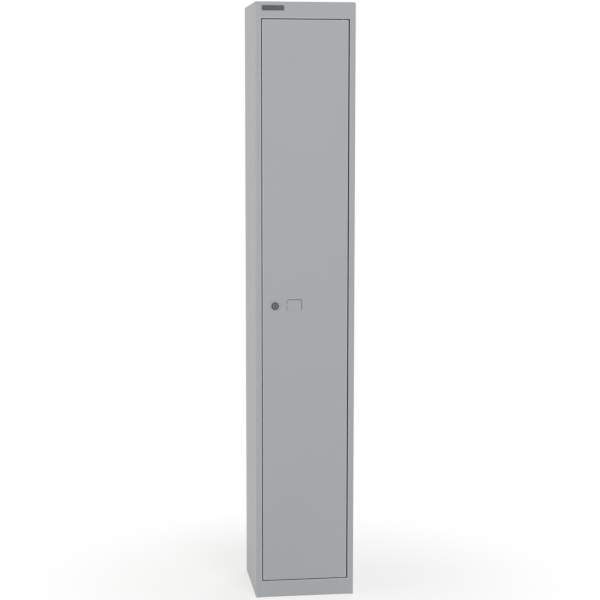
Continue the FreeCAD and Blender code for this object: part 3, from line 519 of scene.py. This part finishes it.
@dataclass(frozen=True)
class TurnedNickel(Finish):
    """Nickel turned on a lathe: fine rings about the lock's axis, dark grooves, painted shade in the keyway.
    """

    name: str
    colour: Colour
    groove: Colour
    roughness: float
    ring_pitch: float = 0.55 * MM
    ring_height: float = 0.006 * MM
    ring_share: float = 0.5
    ring_gloss: float = 0.06
    smear_cell: float = 4 * MM
    smear_span: Span = (0.45, 0.8)
    smear_share: float = 0.4
    smear_gloss: float = 0.2
    # painted shade: near black on the walls of the keyway, where little light gets in
    painted_keyway_shade: Colour = (0.006, 0.006, 0.006)
    key_half: Span = (1.25 * MM, 1.35 * MM)
    key_start: Span = (0.3 * MM, 1.5 * MM)
    key_end: Span = (23 * MM, 23.3 * MM)

    def shade(self, graph: Graph) -> None:
        """Cut rings into the nickel, smear it and paint shade into the keyway.

        Args:
            graph: the empty tree.
        """
        place = graph.place()
        x, y, z = graph.split(place)
        low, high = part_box("lock_body")
        middle = (low + high) / 2
        across, up = x - middle.x, z - middle.z
        ring = (across * across + up * up).root().wave(self.ring_pitch)
        smear = graph.noise(place, self.smear_cell, detail=3.0)
        dulled = ring * self.ring_share + smear.fade(*self.smear_span) * self.smear_share
        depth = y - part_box("lock_plug")[0].y
        along_key = depth.fade(*self.key_start) * (1 - depth.fade(*self.key_end))
        # painted shade inside the keyway
        keyway_shade = (1 - abs(across).fade(*self.key_half)) * along_key
        graph.surface({
            "Base Color": graph.tint(graph.tint(self.colour, self.groove, dulled), self.painted_keyway_shade, keyway_shade),
            "Metallic": 1.0,
            "Roughness": self.roughness + smear.swing(self.smear_gloss) + ring * self.ring_gloss,
            "Normal": graph.relief(ring * self.ring_height),
        })


@dataclass(frozen=True)
class StampedBrass(Finish):
    """Sheet brass with drawing lines and patches of tarnish, painted near black as the shade of the keyway
    it sits in.
    """

    name: str = "brass_painted_keyway_shade"
    # painted shade: the brass is darkened to near black to stand for the shade inside the keyway
    colour: Colour = (0.07, 0.05, 0.024)
    roughness: float = 0.32
    line_cell: float = 0.4 * MM
    line_stretch: Triple = (1.0, 1.0, 0.1)
    line_height: float = 0.004 * MM
    line_gloss: float = 0.2
    tarnish: Colour = (0.024, 0.018, 0.011)
    tarnish_cell: float = 3 * MM
    tarnish_span: Span = (0.45, 0.8)

    def shade(self, graph: Graph) -> None:
        """Draw lines along the brass and tarnish it in patches.

        Args:
            graph: the empty tree.
        """
        place = graph.place()
        line = graph.noise(graph.stretch(place, self.line_stretch), self.line_cell, detail=1.0)
        patch = graph.noise(place, self.tarnish_cell, detail=3.0)
        graph.surface({
            "Base Color": graph.tint(self.colour, self.tarnish, patch.fade(*self.tarnish_span)),
            "Metallic": 1.0,
            "Roughness": self.roughness + line.swing(self.line_gloss),
            "Normal": graph.relief(line * self.line_height),
        })


@dataclass(frozen=True)
class MouldedSkin(Finish):
    """Skin of moulded plastic or rubber: a fine grain, and patches of dust or wear."""

    name: str
    colour: Colour
    patch: Colour
    roughness: float
    patch_cell: float = 4 * MM
    patch_detail: float = 2.0
    patch_span: Span = (0.4, 0.8)
    patch_share: float = 0.6
    patch_gloss: float = 0.15
    grain_cell: float = 0.45 * MM
    grain_height: float = 0.02 * MM
    grain_share: float = 0.15
    grain_gloss: float = 0.0

    def shade(self, graph: Graph) -> None:
        """Grain the skin and lay the patches over it.

        Args:
            graph: the empty tree.
        """
        place = graph.place()
        grain = graph.noise(place, self.grain_cell, detail=2.0)
        patch = graph.noise(place, self.patch_cell, self.patch_detail)
        covered = patch.fade(*self.patch_span) * self.patch_share + grain * self.grain_share
        graph.surface({
            "Base Color": graph.tint(self.colour, self.patch, covered),
            "Roughness": self.roughness + patch.swing(self.patch_gloss) + grain.swing(self.grain_gloss),
            "Normal": graph.relief(grain * self.grain_height),
        })


GREY_PAINT = PowderCoat()
ZINC = PlatedSteel()
BRASS = StampedBrass()
BEZEL_NICKEL = TurnedNickel(
    name="dark_nickel_turned", colour=(0.13, 0.135, 0.14), groove=(0.055, 0.057, 0.06), roughness=0.30
)
PLUG_NICKEL = TurnedNickel(
    name="satin_nickel_turned", colour=(0.24, 0.24, 0.236), groove=(0.10, 0.10, 0.098), roughness=0.24
)
PLATE_BLACK = MouldedSkin(
    name="dark_plate_gloss",
    colour=(0.075, 0.078, 0.082),
    patch=(0.14, 0.14, 0.14),
    roughness=0.30,
    patch_cell=14 * MM,
    patch_detail=3.0,
    patch_span=(0.35, 0.8),
    patch_share=0.35,
    patch_gloss=0.2,
    grain_cell=0.6 * MM,
    grain_height=0.008 * MM,
    grain_share=0.1,
    grain_gloss=0.1,
)
RUBBER = MouldedSkin(
    name="black_rubber_matt", colour=(0.018, 0.018, 0.019), patch=(0.05, 0.05, 0.05), roughness=0.75
)
NYLON = MouldedSkin(
    name="black_nylon", colour=(0.045, 0.045, 0.048), patch=(0.09, 0.09, 0.092), roughness=0.48
)


def apply_finish(finish: Finish, *nodes: str) -> None:
    """Give a finish to nodes of the frame.

    Args:
        finish: what they are finished with.
        nodes: their names.
    """
    for name in nodes:
        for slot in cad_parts[name].material_slots:
            slot.material = finish.material()
        log.info("%s wears %s", name, finish.name)


def make_object(name: str, mesh: bmesh.types.BMesh, finish: Finish) -> bpy.types.Object:
    """Turn a finished mesh into an object of the scene.

    Args:
        name: name of the object.
        mesh: its faces, which are used up.
        finish: its surface.

    Returns:
        The object.
    """
    bmesh.ops.recalc_face_normals(mesh, faces=mesh.faces)
    data = bpy.data.meshes.new(name)
    mesh.to_mesh(data)
    mesh.free()
    data.shade_smooth()
    data.materials.append(finish.material())
    made = bpy.data.objects.new(name, data)
    bpy.context.scene.collection.objects.link(made)
    log.info("%s has %d faces and wears %s", name, len(data.polygons), finish.name)
    return made


def add_piece(name: str, mesh: bmesh.types.BMesh, body: Body, finish: Finish) -> None:
    """Turn a finished mesh into a piece that rides on a body.

    Args:
        name: name of the piece.
        mesh: its faces, which are used up.
        body: what it moves with.
        finish: its surface.
    """
    piece = make_object(name, mesh, finish)
    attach(piece, body.value)
    log.info("%s rides on %s", name, body.value)


def add_ring(
    mesh: bmesh.types.BMesh, middle: Vector, axis: Vector, radius: float, steps: int
) -> list[bmesh.types.BMVert]:
    """Add a circle of points, or its middle alone where the radius is 0.

    Args:
        mesh: receives the points.
        middle: middle of the circle.
        axis: direction that the circle faces.
        radius: size of the circle.
        steps: number of points round it.

    Returns:
        The points in order.
    """
    side = axis.orthogonal().normalized()
    across = axis.cross(side)
    count = steps if radius > 0 else 1
    angles = [2 * math.pi * step / count for step in range(count)]
    return [mesh.verts.new(middle + (side * math.cos(a) + across * math.sin(a)) * radius) for a in angles]


def join_rings(mesh: bmesh.types.BMesh, rings: Sequence[Sequence[bmesh.types.BMVert]]) -> None:
    """Span faces between neighbouring rings; a ring of one point closes to a tip.

    Args:
        mesh: receives the faces.
        rings: rings with as many points each, in order.
    """
    count = max(len(ring) for ring in rings)
    for upper, lower in zip(rings, rings[1:]):
        for here in range(count):
            after = here + 1
            corners = (
                upper[here % len(upper)],
                upper[after % len(upper)],
                lower[after % len(lower)],
                lower[here % len(lower)],
            )
            mesh.faces.new(dict.fromkeys(corners))


@dataclass(frozen=True)
class WeldMark:
    """Pressed ring that a spot welder leaves in painted sheet: a low rim round a shallow dish.

    A rise is a height on the way, as a share of the dish's or the rim's: at the edge of the flat middle and
    of the dish, and halfway up the inner and the outer slope of the rim.
    """

    radius: float = 3.6 * MM
    rim: float = 2.8 * MM
    rim_height: float = 0.32 * MM
    inner_rise: float = 0.8
    outer_rise: float = 0.6
    dish: float = 1.9 * MM
    dish_height: float = 0.04 * MM
    edge_rise: float = 1.6
    flat: float = 1.14 * MM
    flat_rise: float = 1.1
    sunk: float = 0.3 * MM
    segments: int = 28

    def section(self) -> Outline:
        """Work out the section of a mark.

        Returns:
            Radius and height, from the middle of the dish over the rim to the middle underneath.
        """
        return (
            (0.0, self.dish_height),
            (self.flat, self.dish_height * self.flat_rise),
            (self.dish, self.dish_height * self.edge_rise),
            ((self.dish + self.rim) / 2, self.rim_height * self.inner_rise),
            (self.rim, self.rim_height),
            ((self.rim + self.radius) / 2, self.rim_height * self.outer_rise),
            (self.radius, 0.0),
            (self.radius, -self.sunk),
            (0.0, -self.sunk),
        )

    def press(self, mesh: bmesh.types.BMesh, centre: Vector) -> None:
        """Press one mark into sheet that faces the rear.

        Args:
            mesh: receives the faces.
            centre: middle of the mark on the sheet.
        """
        join_rings(mesh, [
            add_ring(mesh, centre + REARWARD * height, REARWARD, radius, self.segments)
            for radius, height in self.section()
        ])

    def build_rows(self, name: str, body: Body, feet: Sequence[Vector], top: float, pitch: float) -> None:
        """Build upright rows of marks as one piece.

        Args:
            name: name of the new piece.
            body: what the sheet moves with.
            feet: lowest mark of each row.
            top: height of the highest marks.
            pitch: least distance from mark to mark.
        """
        mesh = bmesh.new()
        for foot in feet:
            gaps = int((top - foot.z) / pitch)
            for step in range(gaps + 1):
                self.press(mesh, foot + UP * ((top - foot.z) * step / gaps))
        add_piece(name, mesh, body, GREY_PAINT)


class SubAssembly(ABC):
    """Group of pieces that are built and dressed together."""

    def build(self) -> None:
        """Make the pieces that the frame lacks; a group may have none."""

    @abstractmethod
    def dress(self) -> None:
        """Finish the nodes of the frame."""


@dataclass
class Carcass(SubAssembly):
    """Folded shell of the locker with its rails, back, cap and floor."""

    painted: tuple[str, ...] = (
        "left_side_panel",
        "right_side_panel",
        "back_panel",
        "top_panel",
        "floor_panel",
        "header_rail",
        "plinth_rail",
    )
    weld_inset: float = 8.5 * MM
    weld_end: float = 45 * MM
    weld_pitch: float = 140 * MM

    def build(self) -> None:
        """Press the spot welds that hold the back panel into both rear flanges."""
        low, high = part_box("back_panel")
        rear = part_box("left_side_panel")[1].y
        edge = high.x - self.weld_inset
        bottom, top = low.z + self.weld_end, high.z - self.weld_end
        feet = [Vector((x, rear, bottom)) for x in (-edge, edge)]
        WeldMark().build_rows("rear_weld_marks", Body.CARCASS, feet, top, self.weld_pitch)

    def dress(self) -> None:
        """Paint the panels, and finish the buffers that the door closes on."""
        apply_finish(GREY_PAINT, *self.painted)
        apply_finish(RUBBER, "door_buffers")


@dataclass
class Fittings(SubAssembly):
    """Hat shelf, its runners and the coat hook."""

    painted: tuple[str, ...] = ("hat_shelf", "left_shelf_runner", "right_shelf_runner")
    plated: tuple[str, ...] = ("coat_hook", "shelf_rivets", "hook_rivets")

    def dress(self) -> None:
        """Paint the shelf and plate the hook and rivets."""
        apply_finish(GREY_PAINT, *self.painted)
        apply_finish(ZINC, *self.plated)


@dataclass
class LabelPlate(SubAssembly):
    """Blank plate on the header with a raised border."""

    border_inset: float = 1.1 * MM
    border_wide: float = 0.9 * MM
    border_slope: float = 0.225 * MM
    border_height: float = 0.35 * MM
    sunk: float = 0.2 * MM
    corner: float = 3 * MM
    corner_share: float = 0.5
    corner_steps: int = 8

    def build(self) -> None:
        """Raise the border on the plate's face."""
        low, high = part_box("label_plate")
        outer, inner = self.border_inset, self.border_inset + self.border_wide
        section = (
            (outer, -self.sunk),
            (outer + self.border_slope, self.border_height),
            (inner - self.border_slope, self.border_height),
            (inner, -self.sunk),
        )
        mesh = bmesh.new()
        rings = [self.add_loop(mesh, low, high, inset, low.y - rise) for inset, rise in section]
        join_rings(mesh, [*rings, rings[0]])
        add_piece("label_border", mesh, Body.CARCASS, PLATE_BLACK)

    def add_loop(
        self, mesh: bmesh.types.BMesh, low: Vector, high: Vector, inset: float, depth: float
    ) -> list[bmesh.types.BMVert]:
        """Add a round-cornered loop that follows the plate's edge, its corners tighter further in.

        Args:
            mesh: receives the points.
            low: lowest corner of the plate.
            high: highest corner of the plate.
            inset: distance inside the plate's edge.
            depth: place of the loop on the Y axis.

        Returns:
            The points, anticlockwise from the right.
        """
        radius = self.corner - inset * self.corner_share
        reach = inset + radius
        middles = (
            (high.x - reach, high.z - reach),
            (low.x + reach, high.z - reach),
            (low.x + reach, low.z + reach),
            (high.x - reach, low.z + reach),
        )
        points = []
        for quarter, (x, z) in enumerate(middles):
            for step in range(self.corner_steps + 1):
                angle = math.pi / 2 * (quarter + step / self.corner_steps)
                spot = (x + radius * math.cos(angle), depth, z + radius * math.sin(angle))
                points.append(mesh.verts.new(spot))
        return points

    def dress(self) -> None:
        """Finish the plate."""
        apply_finish(PLATE_BLACK, "label_plate")


@dataclass
class Hinges(SubAssembly):
    """Pins, bushes and the plates that hold them."""

    plates: tuple[str, ...] = (
        "upper_pivot_plate",
        "lower_pivot_plate",
        "upper_hinge_plate",
        "lower_hinge_plate",
    )
    pins: tuple[str, ...] = ("upper_hinge_pin", "lower_hinge_pin")
    bushes: tuple[str, ...] = ("upper_hinge_bush", "lower_hinge_bush")

    def dress(self) -> None:
        """Paint the plates, plate the pins and leave the bushes in black nylon."""
        apply_finish(GREY_PAINT, *self.plates)
        apply_finish(ZINC, *self.pins)
        apply_finish(NYLON, *self.bushes)


@dataclass
class Door(SubAssembly):
    """Door pan with its stiffener and card holder."""

    painted: tuple[str, ...] = ("door_skin", "door_stiffener", "card_holder")
    foot_middle: float = 9 * MM
    foot_thick: float = 0.9 * MM
    weld_end: float = 35 * MM
    weld_pitch: float = 150 * MM

    def build(self) -> None:
        """Press the spot welds into both feet of the stiffener."""
        low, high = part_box("door_stiffener")
        sides = (low.x + self.foot_middle, high.x - self.foot_middle)
        bottom, top = low.z + self.weld_end, high.z - self.weld_end
        feet = [Vector((x, low.y + self.foot_thick, bottom)) for x in sides]
        WeldMark().build_rows("stiffener_weld_marks", Body.DOOR, feet, top, self.weld_pitch)

    def dress(self) -> None:
        """Paint the door."""
        apply_finish(GREY_PAINT, *self.painted)


@dataclass
class Lock(SubAssembly):
    """Cam lock: body clamped to the door, and the core that turns in it."""

    plated: tuple[str, ...] = ("lock_washer", "lock_nut", "lock_cam", "cam_screw")

    def dress(self) -> None:
        """Finish the lock's body, core and fixings."""
        apply_finish(BEZEL_NICKEL, "lock_body")
        apply_finish(PLUG_NICKEL, "lock_plug")
        apply_finish(BRASS, "lock_wafers")
        apply_finish(ZINC, *self.plated)


@dataclass(frozen=True)
class Lamp:
    """Soft box: a lit square that faces a point."""

    name: str
    place: Triple
    aim: Triple
    side: float
    watts: float
    colour: Colour = WHITE
    mirrored: bool = False

    def hang(self) -> None:
        """Hang the lamp, out of the camera's sight."""
        data = bpy.data.lights.new(self.name, "AREA")
        data.shape = "SQUARE"
        data.size = self.side
        data.energy = self.watts
        data.color = self.colour
        lamp = bpy.data.objects.new(self.name, data)
        lamp.location = self.place
        lamp.rotation_euler = (Vector(self.aim) - lamp.location).to_track_quat("-Z", "Y").to_euler()
        lamp.visible_camera = False
        lamp.visible_glossy = self.mirrored
        bpy.context.scene.collection.objects.link(lamp)
        log.info("%s hangs at %s", self.name, self.place)


@dataclass(frozen=True)
class PaleFloor(Finish):
    """Pale seamless floor: shows the shadow near the locker and runs out to white."""

    name: str = "pale_floor"
    colour: Colour = (0.86, 0.86, 0.86)
    shadow_share: float = 0.36
    shadow_end: Span = (0.25, 0.95)
    speck_cell: float = 3 * MM
    speck_share: float = 0.2

    def shade(self, graph: Graph) -> None:
        """Mix the lit floor with plain white, more of it further from the locker.

        Args:
            graph: the empty tree.
        """
        place = graph.place()
        x, y, _ = graph.split(place)
        away = (x * x + y * y).root().fade(*self.shadow_end)
        speck = graph.noise(place, self.speck_cell, detail=2.0)
        speckled = graph.tint(self.colour, WHITE, speck * self.speck_share)
        matt = graph.node("ShaderNodeBsdfDiffuse", sockets={"Color": speckled})
        glow = graph.node("ShaderNodeEmission", sockets={"Color": WHITE, "Strength": 1.0})
        white_share = graph.seen_directly() * (1 - self.shadow_share * (1 - away))
        graph.show(Output.MATERIAL, graph.mix(white_share, matt, glow))


@dataclass
class Studio:
    """Floor, light and camera."""

    ambient: Colour = (0.42, 0.42, 0.42)
    floor_rings: tuple[float, ...] = (0.0, 0.4, 1.2, 3.0, 9.0)
    floor_steps: int = 64
    eye: Triple = (-0.6445, -4.767, 1.491)
    yaw: float = -7.75
    pitch: float = -7.02
    roll: float = 0.05
    lens: float = 93.72
    sensor: float = 36.0
    lamps: tuple[Lamp, ...] = (
        Lamp(
            name="left_soft_box",
            place=(-3.2, -0.6, 1.7),
            aim=(0.0, 0.0, 0.9),
            side=2.4,
            watts=39.0,
            colour=(1.0, 0.91, 0.75),
            mirrored=True,
        ),
        Lamp(name="front_soft_box", place=(1.6, -8.0, 5.4), aim=(0.0, 0.0, 0.7), side=4.0, watts=404.0),
        Lamp(name="rear_soft_box", place=(2.0, 4.6, 2.6), aim=(0.0, 0.0, 0.9), side=2.4, watts=90.0),
    )

    def build(self) -> None:
        """Lay the floor, light the room and set the camera."""
        self.lay_floor()
        self.light_room()
        for lamp in self.lamps:
            lamp.hang()
        self.set_camera()
        bpy.context.scene.view_settings.view_transform = "Standard"

    def lay_floor(self) -> None:
        """Lay a round floor under the locker."""
        mesh = bmesh.new()
        rings = [add_ring(mesh, Vector(), UP, radius, self.floor_steps) for radius in self.floor_rings]
        join_rings(mesh, rings)
        make_object("floor", mesh, PaleFloor())

    def light_room(self) -> None:
        """Fill the room with even light, and show it as white."""
        world = bpy.data.worlds.new("studio")
        world.use_nodes = True
        graph = Graph(world.node_tree)
        fill = graph.node("ShaderNodeBackground", sockets={"Color": self.ambient, "Strength": 1.0})
        backdrop = graph.node("ShaderNodeBackground", sockets={"Color": WHITE, "Strength": 1.0})
        graph.show(Output.WORLD, graph.mix(graph.seen_directly(), fill, backdrop))
        bpy.context.scene.world = world

    def set_camera(self) -> None:
        """Set the camera where the photograph was taken from."""
        data = bpy.data.cameras.new("camera")
        data.sensor_width = self.sensor
        data.lens = self.lens
        camera = bpy.data.objects.new("camera", data)
        camera.location = self.eye
        turned = Euler(map(math.radians, (LEVEL_PITCH + self.pitch, 0, self.yaw))).to_matrix()
        rolled = Euler((0, 0, math.radians(self.roll))).to_matrix()
        camera.rotation_euler = (turned @ rolled).to_euler()
        bpy.context.scene.collection.objects.link(camera)
        bpy.context.scene.camera = camera
        log.info("camera stands at %s", self.eye)


def main() -> None:
    """Build and dress every sub-assembly, then the studio."""
    logging.basicConfig(level=logging.INFO, format="%(name)s: %(message)s")
    for part in (Carcass(), Fittings(), LabelPlate(), Hinges(), Door(), Lock()):
        part.build()
        part.dress()
    Studio().build()


if __name__ == "__main__":
    main()
